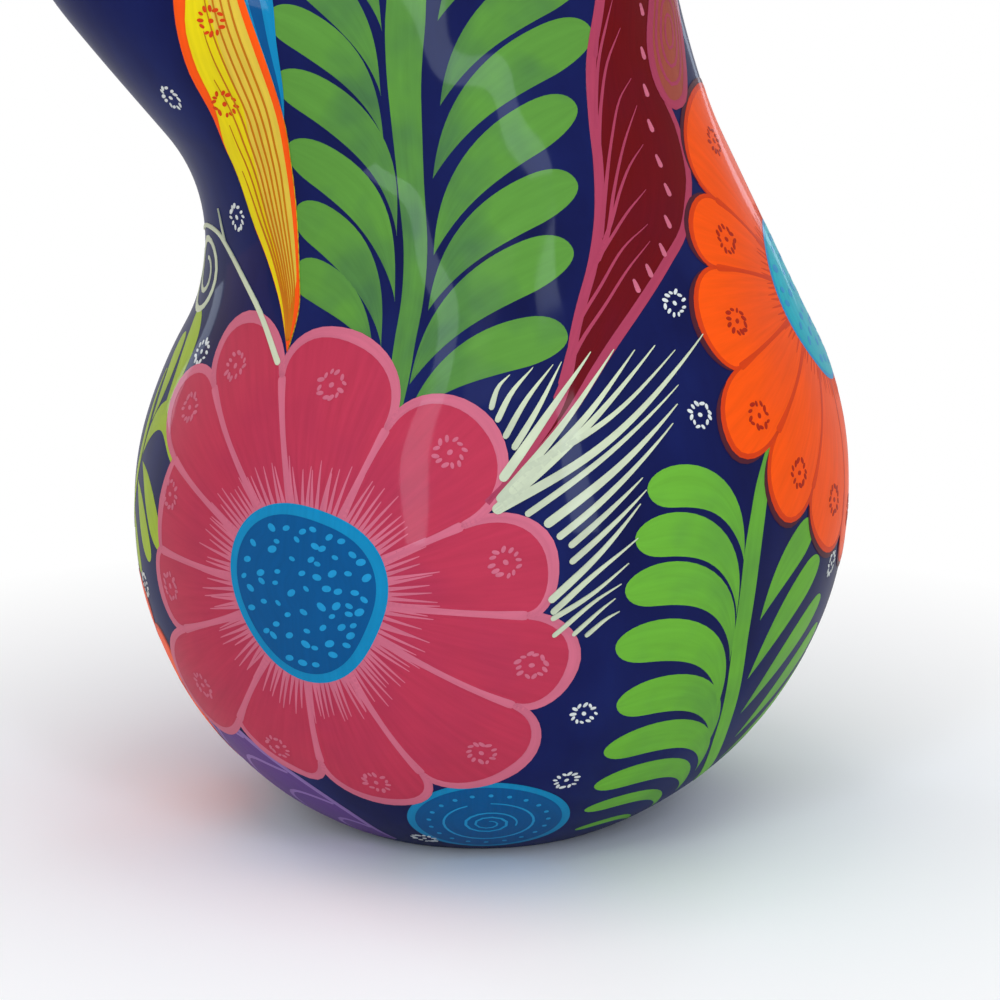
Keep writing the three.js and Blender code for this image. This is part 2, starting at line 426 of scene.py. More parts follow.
def cobalt_ground():
    """The dark blue ground: two or three uneven coats that let the brush show."""
    nodes = Nodes(bpy.data.materials.new("cobalt_ground"))
    where = nodes.add("TexCoord").outputs["Object"]
    across, along = 60.0, 14.0  # the strokes run upright
    strokes = nodes.noise(nodes.stretched(where, across, across, along), scale=1.0, detail=4.0)
    strokes = nodes.ramp(strokes, 0.35, 0.68)
    clouds = nodes.ramp(nodes.noise(where, scale=17.0, detail=2.0), 0.35, 0.65)
    dark = nodes.mix(strokes, linear("#040938"), linear(GROUND_TONE))
    light = nodes.mix(strokes, linear("#0a1248"), linear("#101c54"))
    relief = nodes.bump(strokes, BRISTLE_DEPTH, strength=0.4)
    return nodes.shade(Base_Color=nodes.mix(clouds, dark, light), Normal=relief, **VARNISHED)


def bare_clay(name, main, dark, light):
    """Fired clay: blotched by the kiln, speckled with grit and faintly ridged by the hand."""
    nodes = Nodes(bpy.data.materials.new(name))
    where = nodes.add("TexCoord").outputs["Object"]
    blotches = nodes.ramp(nodes.noise(where, scale=22.0, detail=4.0), *NOISE_SPAN)
    grit = nodes.ramp(nodes.noise(where, scale=900.0, detail=2.0), 0.45, 0.75)
    along, across = 30.0, 420.0  # the ridges run level
    ridges = nodes.noise(nodes.stretched(where, along, along, across), scale=1.0)
    tone = nodes.mix(blotches, linear(dark), linear(main))
    fine = nodes.bump(grit, depth=0.0002, strength=0.5)
    relief = nodes.bump(ridges, depth=0.0004, strength=0.6, Normal=fine)
    return nodes.shade(Base_Color=nodes.mix(grit, tone, linear(light)), Normal=relief, Roughness=0.88)


GROUND = cobalt_ground()
TERRACOTTA = bare_clay("terracotta", "#b5623c", "#9a4c2c", "#c98259")
SLIP = bare_clay("slip", "#a8573a", "#8f452c", "#bd7450")

# Each paint's slot in the record and its colour
PAINTS = {
    "pink": ("pink_paint", "#b4324a", 0.12),
    "rose": ("rose_paint", "#c66478"),
    "crimson": ("crimson_paint", "#64040a"),
    "madder": ("rose_paint", "#a83c55"),
    "russet": ("orange_paint", "#a04a38"),
    "umber": ("crimson_paint", "#4c1c28"),
    "orange": ("orange_paint", "#f65204"),
    "vermilion": ("orange_paint", "#d43c08"),
    "oxblood": ("crimson_paint", "#a82408"),
    "yellow": ("yellow_paint", "#e4cc0a"),
    "straw": ("yellow_paint", "#dcb93c"),
    "amber": ("orange_paint", "#c4700e"),
    "leaf": ("green_paint", "#588c36", 0.45),
    "lime": ("green_paint", "#66a632", 0.25),
    "olive": ("green_paint", "#9cb428", 0.2),
    "azure": ("blue_paint", "#004e82"),
    "teal": ("blue_paint", "#0a7eaa"),
    "sky": ("blue_paint", "#1c8cbc"),
    "turquoise": ("blue_paint", "#08a6b4"),
    "cream": ("cream_paint", "#c8ceae", 0.2),
    "white": ("cream_paint", "#d8dad4", 0.2),
    "purple": ("purple_paint", "#5c3c7c"),
    "lilac": ("purple_paint", "#8a6ca4"),
}
materials = {name: brushed(name, *look) for name, (_, *look) in PAINTS.items()}


# Skins


def ring_angles(middle, half_span, count):
    """Angles across a sector for each of its rows."""
    return middle + np.linspace(-1, 1, count)[None, :] * np.asarray(half_span)[:, None]


def skin_levels(low, high):
    return np.linspace(low, high, 2 + math.ceil((high - low) / CELL))


def skin(name, low, high, angles, band=0):
    """A piece of the wall between two levels; a band under its top is painted inside too."""
    levels = skin_levels(low, high)
    around = angles.shape[0] == 1
    angle, level = np.broadcast_arrays(angles, levels[:, None])
    z = height_at(angle, level)
    normals = facing(angle, z)
    outer, inner = in_wall(angle, 0, level), in_wall(angle, 1, level)
    points, quads = slab(outer, inner, around)
    rows, columns = outer.shape[:2]
    cells = (rows - 1) * (columns if around else columns - 1)
    inside_rows = np.arange(cells, 2 * cells)
    slots = np.zeros(len(quads))
    row_of_cell = (inside_rows - cells) // (cells // (rows - 1))
    slots[inside_rows] = levels[row_of_cell] < high - band
    both = np.concatenate([normals.reshape(-1, 3), -normals.reshape(-1, 3)])
    piece = make_piece(name + "_skin", points, quads, both, [GROUND, TERRACOTTA], slots=slots)
    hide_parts(name)


def whole_turn():
    count = round(2 * math.pi * BELLY_RADIUS / CELL)
    return np.linspace(0, 2 * math.pi, count, endpoint=False)[None, :]


def beak_seam_angles(levels):
    """How far round from the front the upright seam lies at each level."""
    low, high = np.zeros(len(levels)), np.full(len(levels), math.pi)
    halvings = 40
    for _ in range(halvings):
        middle = (low + high) / 2
        in_front = place(middle, height_at(middle, levels))[:, 0] < -BEAK_SEAM
        low, high = np.where(in_front, middle, low), np.where(in_front, high, middle)
    return (low + high) / 2


def disc_grid(count):
    """A square grid pressed into a disc: each point's bearing and its share of the reach."""
    side = np.linspace(-1, 1, count)
    x, y = np.meshgrid(side, side)
    share = np.maximum(np.abs(x), np.abs(y))
    with np.errstate(invalid="ignore", divide="ignore"):
        wide = np.abs(x) >= np.abs(y)
        quarter = math.pi / 4
        bearing = np.where(wide, math.pi / 2 - quarter * y / x, quarter * x / y)
    bearing = np.nan_to_num(bearing) + np.where(np.where(wide, x, y) < 0, math.pi, 0)
    return bearing, share


def base_disc():
    """The slab under the belly: bare clay below and a painted edge."""
    edge = 0.86  # the share of the grid that makes the flat underside
    top_share = 1 - 1 / WALL / WALL  # its top stays just inside the wall's outside
    angle, share = disc_grid(BASE_SIDE)
    z = np.clip((share - edge) / (1 - edge), 0, 1) * FLOOR_THICKNESS
    underside = share < edge
    shrink = np.where(underside, share / edge, 1)[..., None]
    axis = np.stack([axis_at(z), 0 * z, z], -1)
    outer = axis + (place(angle, z) - axis) * shrink
    top = place(angle, np.full_like(z, FLOOR_THICKNESS))
    top_axis = np.array([axis_at(FLOOR_THICKNESS), 0, FLOOR_THICKNESS])
    inner = top_axis + (top - top_axis) * (share[..., None] * top_share)
    down = np.array([0.0, 0.0, -1.0])
    normals = np.where(underside[..., None], down, facing(angle, z))
    points, quads = slab(outer, inner)
    both = np.concatenate([normals.reshape(-1, 3), np.tile(-down, (BASE_SIDE * BASE_SIDE, 1))])
    lowest = points[quads][..., 2].max(1)
    piece = make_piece("base_disc_skin", points, quads, both, [GROUND, TERRACOTTA], slots=lowest < MM)
    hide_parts("base_disc")


def on_roll(angle, turn):
    """Points of the roll at angles from the front and turns round its section; a quarter is its top."""
    middle = 0.5  # of the wall's thickness
    low = 0.35  # the share of its height that lies below its widest line
    tuck = 0.2  # how much it narrows down there
    lift = np.where(np.sin(turn) > 0, 1 - low, low) * np.sin(turn)
    narrowed = np.where(lift < 0, 1 - tuck * np.abs(np.sin(turn)), 1)
    depth = middle - (middle + ROLL_OVERHANG / WALL) * np.cos(turn) * narrowed
    return in_wall(angle, depth, RIM_HEIGHT + LUTING_GAP + ROLL_HEIGHT * (low + lift))


def roll_facing(angle, turn):
    step = 0.01
    across = on_roll(angle + step, turn) - on_roll(angle - step, turn)
    up = on_roll(angle, turn + step) - on_roll(angle, turn - step)
    return unit(np.cross(across, up))


def rim_roll():
    """The roll of clay round the mouth, of rounded section."""
    turn = np.linspace(0, 2 * math.pi, ROLL_SIDES, endpoint=False)[:, None]
    around = np.broadcast_arrays(whole_turn(), turn)
    grid, normals = on_roll(*around), roll_facing(*around)
    index = numbered(*grid.shape[:2], around=True)
    quads = quads_of(np.vstack([index, index[:1]]))
    piece = make_piece("rim_roll_skin", grid.reshape(-1, 3), quads, normals.reshape(-1, 3), [GROUND])
    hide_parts("rim_roll")


# The strap's bow between its ends, in shares of its reach from the rim and of its height from the lower end
HANDLE_BOW = [(0.37, 0.94), (0.69, 1), (0.92, 0.86), (1, 0.58), (0.9, 0.28), (0.59, 0.06), (0.18, -0.02)]


def handle_route():
    """The middle of the strap, from inside the wall under the rim, over the crown and back in."""
    wall_top = height_at(math.pi, RIM_HEIGHT)
    rim_back = axis_at(wall_top) + float(round_line(wall_top)) + ROLL_OVERHANG
    lower_root, crown = wall_top - HANDLE_LOWER_DROP, wall_top + HANDLE_CROWN_RISE
    under_rim = 0.8 * HANDLE_THICKNESS

    def inside(z):
        return [axis_at(z) + float(round_line(z)) - WALL, 0, z]

    bends = [inside(wall_top - HANDLE_UPPER_DROP)]
    bends.append([rim_back + HANDLE_RIM_CLEARANCE, 0, wall_top - under_rim])
    for out, up in HANDLE_BOW:
        bends.append([rim_back + out * HANDLE_REACH, 0, lower_root + up * (crown - lower_root)])
    return curve(bends + [inside(lower_root)], np.linspace(0, 1, HANDLE_ROWS))


def on_handle(along, around):
    """Points and normals of the strap, at shares of its length and turns round it from its outer face."""
    middle = handle_route()
    rows = np.linspace(0, 1, HANDLE_ROWS)
    at = sampled(middle, along, rows)
    tangent = unit(sampled(unit(np.gradient(middle, axis=0)), along, rows))
    out = np.stack([-tangent[..., 2], 0 * along, tangent[..., 0]], -1)
    to_root = np.maximum(0, 1 - np.minimum(along, 1 - along) / HANDLE_ROOT_SHARE)
    spread = 1 + (HANDLE_ROOT_BREADTH / HANDLE_BREADTH - 1) * to_root**2
    thick, broad = (size / 2 * spread for size in (HANDLE_THICKNESS, HANDLE_BREADTH))
    side = np.array([0.0, 1.0, 0.0])
    points = at + out * (thick * np.cos(around))[..., None] + side * (broad * np.sin(around))[..., None]
    normals = out * (np.cos(around) / thick)[..., None] + side * (np.sin(around) / broad)[..., None]
    return points, unit(normals)


def seated(points):
    """Keeps the ends of the strap from going through the wall."""
    angle, z = locate(points)
    axis = np.stack([axis_at(z), 0 * z, z], -1)
    reach = np.linalg.norm(points - axis, axis=-1)
    seat = outside(angle, z) - HANDLE_SEAT * slant(angle, z)
    least = np.where(z < height_at(math.pi, RIM_HEIGHT), seat, 0)
    return axis + (points - axis) * np.maximum(1, least / reach)[..., None]


def handle():
    along = np.linspace(0, 1, HANDLE_ROWS)[:, None]
    around = np.linspace(2 * math.pi, 0, HANDLE_COLUMNS, endpoint=False)[None, :]
    points, normals = on_handle(*np.broadcast_arrays(along, around))
    index = numbered(HANDLE_ROWS, HANDLE_COLUMNS)
    half = HANDLE_COLUMNS // 2
    ends = []
    for end in index[[0, -1]]:
        ends.append(np.stack([end[: half - 1], end[1:half], end[-2 : half - 1 : -1], end[-1:half:-1]], -1))
    sides = quads_of(numbered(HANDLE_ROWS, HANDLE_COLUMNS, around=True))
    quads = np.concatenate([sides, ends[0][:, ::-1], ends[1]])
    points, normals = seated(points).reshape(-1, 3), normals.reshape(-1, 3)
    piece = make_piece("handle_skin", points, quads, normals, [GROUND])
    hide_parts("handle")


def skins():
    base_disc()
    skin("lower_belly", FLOOR_THICKNESS, BELLY_SEAM, whole_turn())
    skin("upper_belly", BELLY_SEAM, NECK_SEAM, whole_turn())
    seam = beak_seam_angles(skin_levels(NECK_SEAM, RIM_HEIGHT))
    front, back = ring_angles(0, seam, BEAK_COLUMNS), ring_angles(math.pi, math.pi - seam, NECK_COLUMNS)
    skin("beak", NECK_SEAM, RIM_HEIGHT, front, PAINTED_BAND)
    skin("neck", NECK_SEAM, RIM_HEIGHT, back, PAINTED_BAND)
    rim_roll()
    handle()
    for coil in ("belly_seam_coil", "neck_seam_coil"):
        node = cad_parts[coil]
        node.data.materials.clear()
        node.data.materials.append(SLIP)


# Brushwork


def crowded(count):
    """Fractions from 0 to 1 that lie closer together towards both ends."""
    return (1 - np.cos(np.linspace(0, math.pi, count))) / 2


class Side:
    """One side of the pitcher. The far side has the near one's places, mirrored."""

    def __init__(self, name, mirrored):
        self.name = name
        self.way = -1 if mirrored else 1

    def wall(self, places):
        """Points on the wall at a list of (turn, height)."""
        turn, height = np.asarray(places, float).reshape(-1, 2).T
        return place(np.radians(turn) * self.way, height)

    def chart(self, turn, height, reach):
        """Flattens the wall round a place: gives the points at distances to the right and up of it."""
        step, count = 1.0, 181
        bearings = np.linspace(0, 2 * math.pi, count)[:, None]
        spot = np.repeat(self.wall([(turn, height)]), count, 0)
        n = facing(*locate(spot))
        right = unit(np.cross([0, 0, 1.0], n)) * self.way
        up = unit(np.cross(n, right)) * self.way
        heading = np.sin(bearings) * right + np.cos(bearings) * up
        rows = [spot]
        for _ in range(math.ceil(reach / step) + 1):
            spot = settle(spot + heading * step)
            n = facing(*locate(spot))
            heading = unit(heading - (heading * n).sum(1, keepdims=True) * n)
            rows.append(spot)
        table = np.stack(rows)
        last = len(table) - 1.001  # a hair before the last row, so that there is always a next one

        def lay(x, y):
            x, y = np.broadcast_arrays(np.asarray(x, float), np.asarray(y, float))
            i = np.clip(np.hypot(x, y) / step, 0, last)
            j = np.arctan2(x, y) % (2 * math.pi) / (2 * math.pi) * (count - 1)
            i0, j0 = i.astype(int), np.minimum(j.astype(int), count - 2)
            u, v = (i - i0)[..., None], (j - j0)[..., None]
            near = table[i0, j0] * (1 - v) + table[i0, j0 + 1] * v
            far = table[i0 + 1, j0] * (1 - v) + table[i0 + 1, j0 + 1] * v
            return settle(near * (1 - u) + far * u)

        return lay


FRONT, BACK = Side("front", False), Side("far", True)
laid = {}


def film(piece, paint, layer, grid, n):
    """Lays a film of paint on a grid of points with normals. Each motif and paint makes one piece."""
    i, j = (grid.shape[0] - 1) // 2, (grid.shape[1] - 1) // 2
    out = np.cross(grid[i, j + 1] - grid[i, j], grid[i + 1, j] - grid[i, j])
    if out @ n[i, j] < 0:
        grid, n = grid[:, ::-1], n[:, ::-1]
    points, quads = slab(grid + n * FILM * layer, grid - n * KEY)
    along = distances(grid[:, grid.shape[1] // 2])
    across = distances(grid[grid.shape[0] // 2])
    first_u, first_v = dice.uniform(0, BRUSH_MAP_SPREAD, 2)
    v, u = np.meshgrid(along / BRUSH_MAP + first_v, across / BRUSH_MAP + first_u, indexing="ij")
    load = np.broadcast_to((along / along[-1])[:, None], u.shape)
    uv = np.stack([u, v, load], -1).reshape(-1, 3)
    normals = n.reshape(-1, 3)
    films = laid.setdefault((piece + "_" + paint, paint), [])
    films.append((points, quads, np.concatenate([normals, normals]), np.concatenate([uv, uv])))


def brush(piece, paint, layer, grid):
    film(piece, paint, layer, grid, facing(*locate(grid)))


def let_dry():
    """Makes one mesh piece of all the films of each motif and paint."""
    for (name, paint), films in laid.items():
        all_points, all_quads, all_normals, all_uvs = zip(*films)
        offsets = np.cumsum([0] + [len(points) for points in all_points[:-1]])
        points, normals, uvs = (np.concatenate(part) for part in (all_points, all_normals, all_uvs))
        quads = np.concatenate([quads + offset for quads, offset in zip(all_quads, offsets)])
        piece = make_piece(name, points, quads, normals, [materials[paint]], uvs)


def rounded_ends(along, start, end):
    """The share of the full width at each distance along a stroke whose ends are round."""
    total, least = along[-1], 0.01
    from_start = np.clip(1 - along / max(start, least), 0, 1)
    from_end = np.clip(1 - (total - along) / max(end, least), 0, 1)
    return np.sqrt(1 - from_start**2) * np.sqrt(1 - from_end**2)


def steps_along(length, least=7):
    return crowded(least + int(length / CELL))


def steps_across(breadth, least=3):
    return np.linspace(0, 1, least + int(breadth.max() / CELL))[None, :]


def ribbon(spine, left, right):
    """A grid of wall points along a spine, reaching the given distances to its left and right."""
    ahead = unit(np.gradient(spine, axis=0))
    side = unit(np.cross(ahead, facing(*locate(spine))))
    left, right = (np.broadcast_to(np.maximum(reach, THIN), len(spine))[:, None] for reach in (left, right))
    shares = steps_across(left + right)
    offset = right * shares - left * (1 - shares)
    return settle(spine[:, None] + side[:, None] * offset[..., None])


def spine_of(points, widths):
    """A line on the wall through points, the distances along it and its widths there."""
    points = np.asarray(points)
    spine = settle(curve(points, steps_along(distances(points)[-1])))
    along = distances(spine)
    return spine, along, np.interp(along / along[-1], np.linspace(0, 1, len(widths)), widths)


def draw(side, piece, paint, layer, places, widths):
    brush(piece, paint, layer, stroke(side.wall(places), widths))


def edging(points, widths, way):
    """A stroke beside a line, going along it: on its right where way is 1, on its left for -1."""
    spine, _, width = spine_of(points, widths)
    return ribbon(spine, width * (way < 0), width * (way > 0))


def stroke(points, widths, round_start=True, round_end=True):
    """A brush stroke through wall points, whose width follows the widths given at even steps along it."""
    spine, along, width = spine_of(points, widths)
    half = width / 2 * rounded_ends(along, width[0] / 2 * round_start, width[-1] / 2 * round_end)
    return ribbon(spine, half, half)


LEAF_PEAK = 0.73  # where along it a leaf is widest
SHARP, ROUND = 3.2, 1.8  # how full a corner of its tip stays


def leaf_halves(t, width, root, corner):
    """Half a leaf's width at shares of its length. The higher its root's power, the later it fills out."""
    swell = width / 2 * np.sin(math.pi / 2 * np.clip(t / LEAF_PEAK, 0, 1)) ** root
    return swell * np.sqrt(1 - np.clip((t - LEAF_PEAK) / (1 - LEAF_PEAK), 0, 1) ** corner)


def leaf(root, tip, width, bow, outer=SHARP, inner=ROUND, thin=1.0):
    """A leaf pulled with one press of the brush: a long thin root that fills out towards a blunt tip.

    It bows to the left, seen from its root, by a share of its length, or to the right for a negative bow.
    """
    length = np.linalg.norm(tip - root)
    left = unit(np.cross(facing(*locate(settle((root + tip) / 2))), tip - root))
    control = (root + tip) / 2 + left * 2 * bow * length
    t = steps_along(length, least=9)[:, None]
    spine = settle(root * (1 - t) ** 2 + 2 * control * t * (1 - t) + tip * t**2)
    t = distances(spine)
    halves = [leaf_halves(t / t[-1], width, thin, corner) for corner in (outer, inner)]
    return ribbon(spine, *(halves if bow > 0 else halves[::-1]))


def patch(left, right, along, low=0.0, high=1.0):
    """A grid of wall points between two edges, at fractions along them and shares of the way across."""
    a, b = curve(left, along)[:, None], curve(right, along)[:, None]
    steps = steps_across(np.linalg.norm(a - b, axis=-1))
    low, high = (np.broadcast_to(edge, len(along))[:, None] for edge in (low, high))
    share = (low * (1 - steps) + high * steps)[..., None]
    return settle(a * (1 - share) + b * share)


def within(left, right, along, share):
    """A line of wall points between two edges."""
    share = np.broadcast_to(share, len(along))[:, None]
    return settle(curve(left, along) * (1 - share) + curve(right, along) * share)


def blob(lay, x, y, reach, count):
    """A filled round patch about a point of a chart; reach may be a function of the bearing."""
    bearing, share = disc_grid(count)
    out = share * (reach(bearing) if callable(reach) else reach)
    return lay(x + out * np.sin(bearing), y + out * np.cos(bearing))


def dab(lay, x, y, length, width, lean):
    """One touch of the brush tip: a small oval that leans by an angle from up."""

    def reach(bearing):
        return 0.5 / np.hypot(np.cos(bearing - lean) / length, np.sin(bearing - lean) / width)

    return blob(lay, x, y, reach, DOT_SIDE)


def winding(lay, inner, growth, half_turns, count=40):
    """A line on a chart that winds out from an inner reach and grows by an amount in some half turns."""
    turn = np.linspace(0, half_turns * math.pi, count)
    reach = inner + growth * turn / turn[-1]
    return lay(reach * np.sin(turn), reach * np.cos(turn))


def jitter(most):
    return dice.uniform(-most, most)


def aside(x, y, reach, bearing):
    """The place on a chart at a reach and a bearing, in radians clockwise from up, from another place."""
    return x + reach * math.sin(bearing), y + reach * math.cos(bearing)


def rosette(piece, paint, layer, lay, x, y, size=1.0):
    """A ring of small dabs round a dot, in millimetres where its size is 1."""
    dabs, ring, long, thick, dot_long, dot_thick = 12, 3.2, 1.8, 0.95, 1.5, 1.2
    first = dice.uniform(0, 2 * math.pi)
    for k in range(dabs):
        a = first + 2 * math.pi * (k + jitter(0.15)) / dabs
        r = ring * size * dice.uniform(0.93, 1.1)
        lean = a + jitter(1.2)
        swell = size * dice.uniform(0.8, 1.2)
        brush(piece, paint, layer, dab(lay, *aside(x, y, r, a), long * swell, thick * swell, lean))
    brush(piece, paint, layer, dab(lay, x, y, dot_long * size, dot_thick * size, first))


def rosettes(side, piece, paint, layer, places, size=1.0):
    chart_reach = 6
    for turn, height in places:
        rosette(piece, paint, layer, side.chart(turn, height, chart_reach), 0, 0, size)


# A flower's parts, at polar places on a chart: (reach, bearing in degrees clockwise from up)


def polar(lay, reach, bearing):
    a = np.radians(bearing)
    return lay(reach * np.sin(a), reach * np.cos(a))


def petal_rim(before, tip, after, count):
    """The reach and bearing round a petal's edge, from the notch before it to the notch after it."""
    turn = np.linspace(0, math.pi, count)
    share = -np.cos(turn)
    notch = np.where(share < 0, before[0], after[0])
    span = np.where(share < 0, (tip[1] - before[1]) % 360, (after[1] - tip[1]) % 360)
    return notch + (tip[0] - notch) * np.sin(turn), tip[1] + share * span


RIM_POINTS = 27
SHADOW_SHORT = 3  # points of the rim at each notch that have no shadow
SHADOW_OFFSET = 0.2  # how far the middle of a petal's shadow lies outside its edge
UNDER_DISC, LINES_UNDER_DISC = 2, 1  # how far a petal and its lines run on under the flower's disc


def hairs(piece, look, lay, before, after, layer):
    """The hairs at a petal's root, in even steps from notch to notch, each a little off its place."""
    disc = look["disc"]
    span = (after[1] - before[1]) % 360
    count = round(math.radians(span) * (disc(math.radians(after[1])) - LINES_UNDER_DISC) / look["hair_gap"])
    for k in range(count):
        at = before[1] + span * (k + 0.5 + jitter(0.2)) / count
        start = disc(math.radians(at)) - LINES_UNDER_DISC
        line = np.linspace(start, start + LINES_UNDER_DISC + look["hair"] * dice.uniform(0.75, 1.2), 4)
        bend = np.array([0, 0.3, 0.7, 1]) * jitter(1.5)
        brush(piece, look["line"], layer, stroke(polar(lay, line, at + bend), look["hair_widths"]))


def petal(piece, look, lay, before, tip, after, layer):
    """One petal with its shadow, its rim line, the line to the notch after it and the hairs at its root."""
    disc, width = look["disc"], look["rim"]
    reach, bearing = petal_rim(before, tip, after, RIM_POINTS)
    root = disc(np.radians(bearing)) - UNDER_DISC
    rows = steps_across(tip[0] - root.min(), least=4).T
    brush(piece, look["petal"], layer, polar(lay, root + (reach - root) * rows, bearing + 0 * rows))
    if "shadow" in look:
        shaded = slice(SHADOW_SHORT, -SHADOW_SHORT)
        shadow = polar(lay, reach[shaded] + SHADOW_OFFSET, bearing[shaded])
        brush(piece, look["shadow"], layer - 1, stroke(shadow, [0.5, 2.4, 2.8, 2.4, 0.5]))
    rim = polar(lay, reach - width / 2, bearing)
    rim_widths = [0.75 * width, width, 1.3 * width, width, 0.75 * width]
    brush(piece, look["line"], layer + 1, stroke(rim, rim_widths))
    seam = np.linspace(disc(math.radians(after[1])) - LINES_UNDER_DISC, after[0] - width / 4, 5)
    brush(piece, look["line"], layer + 1, stroke(polar(lay, seam, after[1] + 0 * seam), look["seam"]))
    hairs(piece, look, lay, before, after, layer + 1)


def heart_reach(look, bearing):
    return look["disc"](bearing) - look["ring"]


def flower_middle(piece, look, lay, layer):
    """A flower's middle: a pale rim, a dark heart and rings of dabs."""
    brush(piece, look["disc_rim"], layer, blob(lay, 0, 0, look["disc"], OUTER_SIDE))
    x0, y0 = look["shift"]
    brush(piece, look["heart"], layer + 1, blob(lay, x0, y0, lambda b: heart_reach(look, b), INNER_SIDE))
    gap = look["dab_gap"]
    rings = int(heart_reach(look, 0) / gap)
    for ring in range(rings):
        share = (ring + 0.3) / rings
        count = max(1, round(2 * math.pi * ring))
        first = dice.uniform(0, 2 * math.pi)
        for k in range(count):
            a = first + 2 * math.pi * (k + jitter(0.3)) / count
            r = heart_reach(look, a) * share * dice.uniform(0.94, 1.05)
            lean = math.pi / 2 + jitter(0.7)
            size = gap * dice.uniform(0.7, 1.15)
            touch = dab(lay, *aside(x0, y0, r, a), 0.8 * size, 0.5 * size, lean)
            brush(piece, look["dabs_in"], layer + 2, touch)


def flower(side, name, look, turn, height, notches, tips, marks, layer):
    """A daisy of blunt petals. Notches and tips alternate, and marks are the rosettes on its petals."""
    piece = side.name + "_" + name
    margin = 4
    lay = side.chart(turn, height, max(tip[0] for tip in tips) + margin)
    for before, tip, after in zip(notches, tips, notches[1:] + notches[:1]):
        petal(piece, look, lay, before, tip, after, layer)
    flower_middle(piece, look, lay, layer + 2)
    for r, bearing in marks:
        x, y = aside(0, 0, r, math.radians(bearing))
        rosette(piece, look["marks"], layer + 2, lay, x, y, look["mark_size"])


def pink_disc(bearing):
    """Its disc isn't quite round: it swells to one side and has three blunt corners."""
    mean, swell, swell_at, corner, corner_at = 21.6, 2.4, math.radians(258), 1.2, math.radians(303)
    return mean + swell * np.cos(bearing - swell_at) + corner * np.cos(3 * (bearing - corner_at))


def even_disc(reach):
    return lambda bearing: reach + 0 * bearing


PINK_LOOK = {
    "petal": "pink", "line": "rose", "rim": 2.4, "seam": [2.4, 1.7, 1.5, 1.7, 2.4],
    "hair_gap": 1.15, "hair": 10.5, "hair_widths": [1.2, 0.75, 0.5, 0.2],
    "disc": pink_disc, "disc_rim": "teal", "ring": 2.6, "heart": "azure", "shift": (-0.4, -0.2),
    "dab_gap": 3.0, "dabs_in": "sky", "marks": "rose", "mark_size": 1.0,
}
ORANGE_LOOK = {
    "petal": "orange", "line": "vermilion", "shadow": "umber", "rim": 1.2,
    "seam": [1.5, 1.1, 1.0, 1.2, 2.0], "hair_gap": 1.5, "hair": 5, "hair_widths": [0.8, 0.6, 0.45, 0.15],
    "disc": even_disc(21.8), "disc_rim": "sky", "ring": 1.2, "heart": "turquoise", "shift": (0, 0),
    "dab_gap": 4.2, "dabs_in": "sky", "marks": "oxblood", "mark_size": 0.95,
}


def pink_flower(side):
    notches = [(53, -18), (44, 22), (42, 63), (53, 94), (56, 121), (55, 157), (51, 188), (54, 217),
               (51, 247), (56, 270), (57, 296), (61, 318)]
    tips = [(63, -5), (60, 42), (60, 79), (66, 106), (68, 136), (65, 167), (60, 194), (75, 229),
            (60, 261), (58, 288), (74, 307), (74, 327)]
    marks = [(49, -1), (48, 42), (48, 78), (55, 108), (57, 139), (55, 172), (52, 203), (57, 231),
             (52, 260), (53, 287), (62, 308), (61, 326)]
    flower(side, "pink_flower", PINK_LOOK, 62.6, 78.4, notches, tips, marks, 3)


def orange_flower():
    """The flower under the handle, which both sides share. Its far half repeats the near half's rhythm."""
    notches = [(45, 322), (50, 12), (50, 50), (50, 84), (53, 112), (55, 136), (56, 158), (57, 179),
               (57, 201), (56.7, 227.6), (54.4, 249.5), (53, 269.5), (47, 298.1)]
    tips = [(61, 345), (60, 31), (58, 67), (62, 98), (67, 124), (69, 147), (68, 168), (68, 190),
            (66.8, 212), (69.6, 236), (69, 257), (58.6, 281), (54, 309)]
    mark_depth = 13  # from a petal's tip
    marks = [(r - mark_depth, bearing) for r, bearing in tips]
    flower(FRONT, "orange_flower", ORANGE_LOOK, 175, 134, notches, tips, marks, 6)


def small_flower(side, name, look, turn, height, petals, reach, disc_reach, layer):
    """A regular daisy."""
    step, notch_share = 360 / petals, 0.74
    notches = [(notch_share * reach, step * (k - 0.5)) for k in range(petals)]
    tips = [(reach * dice.uniform(0.95, 1.05), step * k + jitter(2)) for k in range(petals)]
    small = {"disc": even_disc(disc_reach), "dab_gap": 2.6, "rim": 1.3, "ring": 1.2, "hair": 3.5}
    flower(side, name, look | small, turn, height, notches, tips, [], layer)


# Leaves on a stem: root (turn, height), tip (turn, height) and width


def leaves(side, piece, paint, layer, rows, bow, outer=SHARP, inner=ROUND, thin=1.0):
    for *places, width in rows:
        root, tip = side.wall(np.reshape(places, (2, 2)))
        brush(piece, paint, layer, leaf(root, tip, width, bow * side.way, outer, inner, thin))


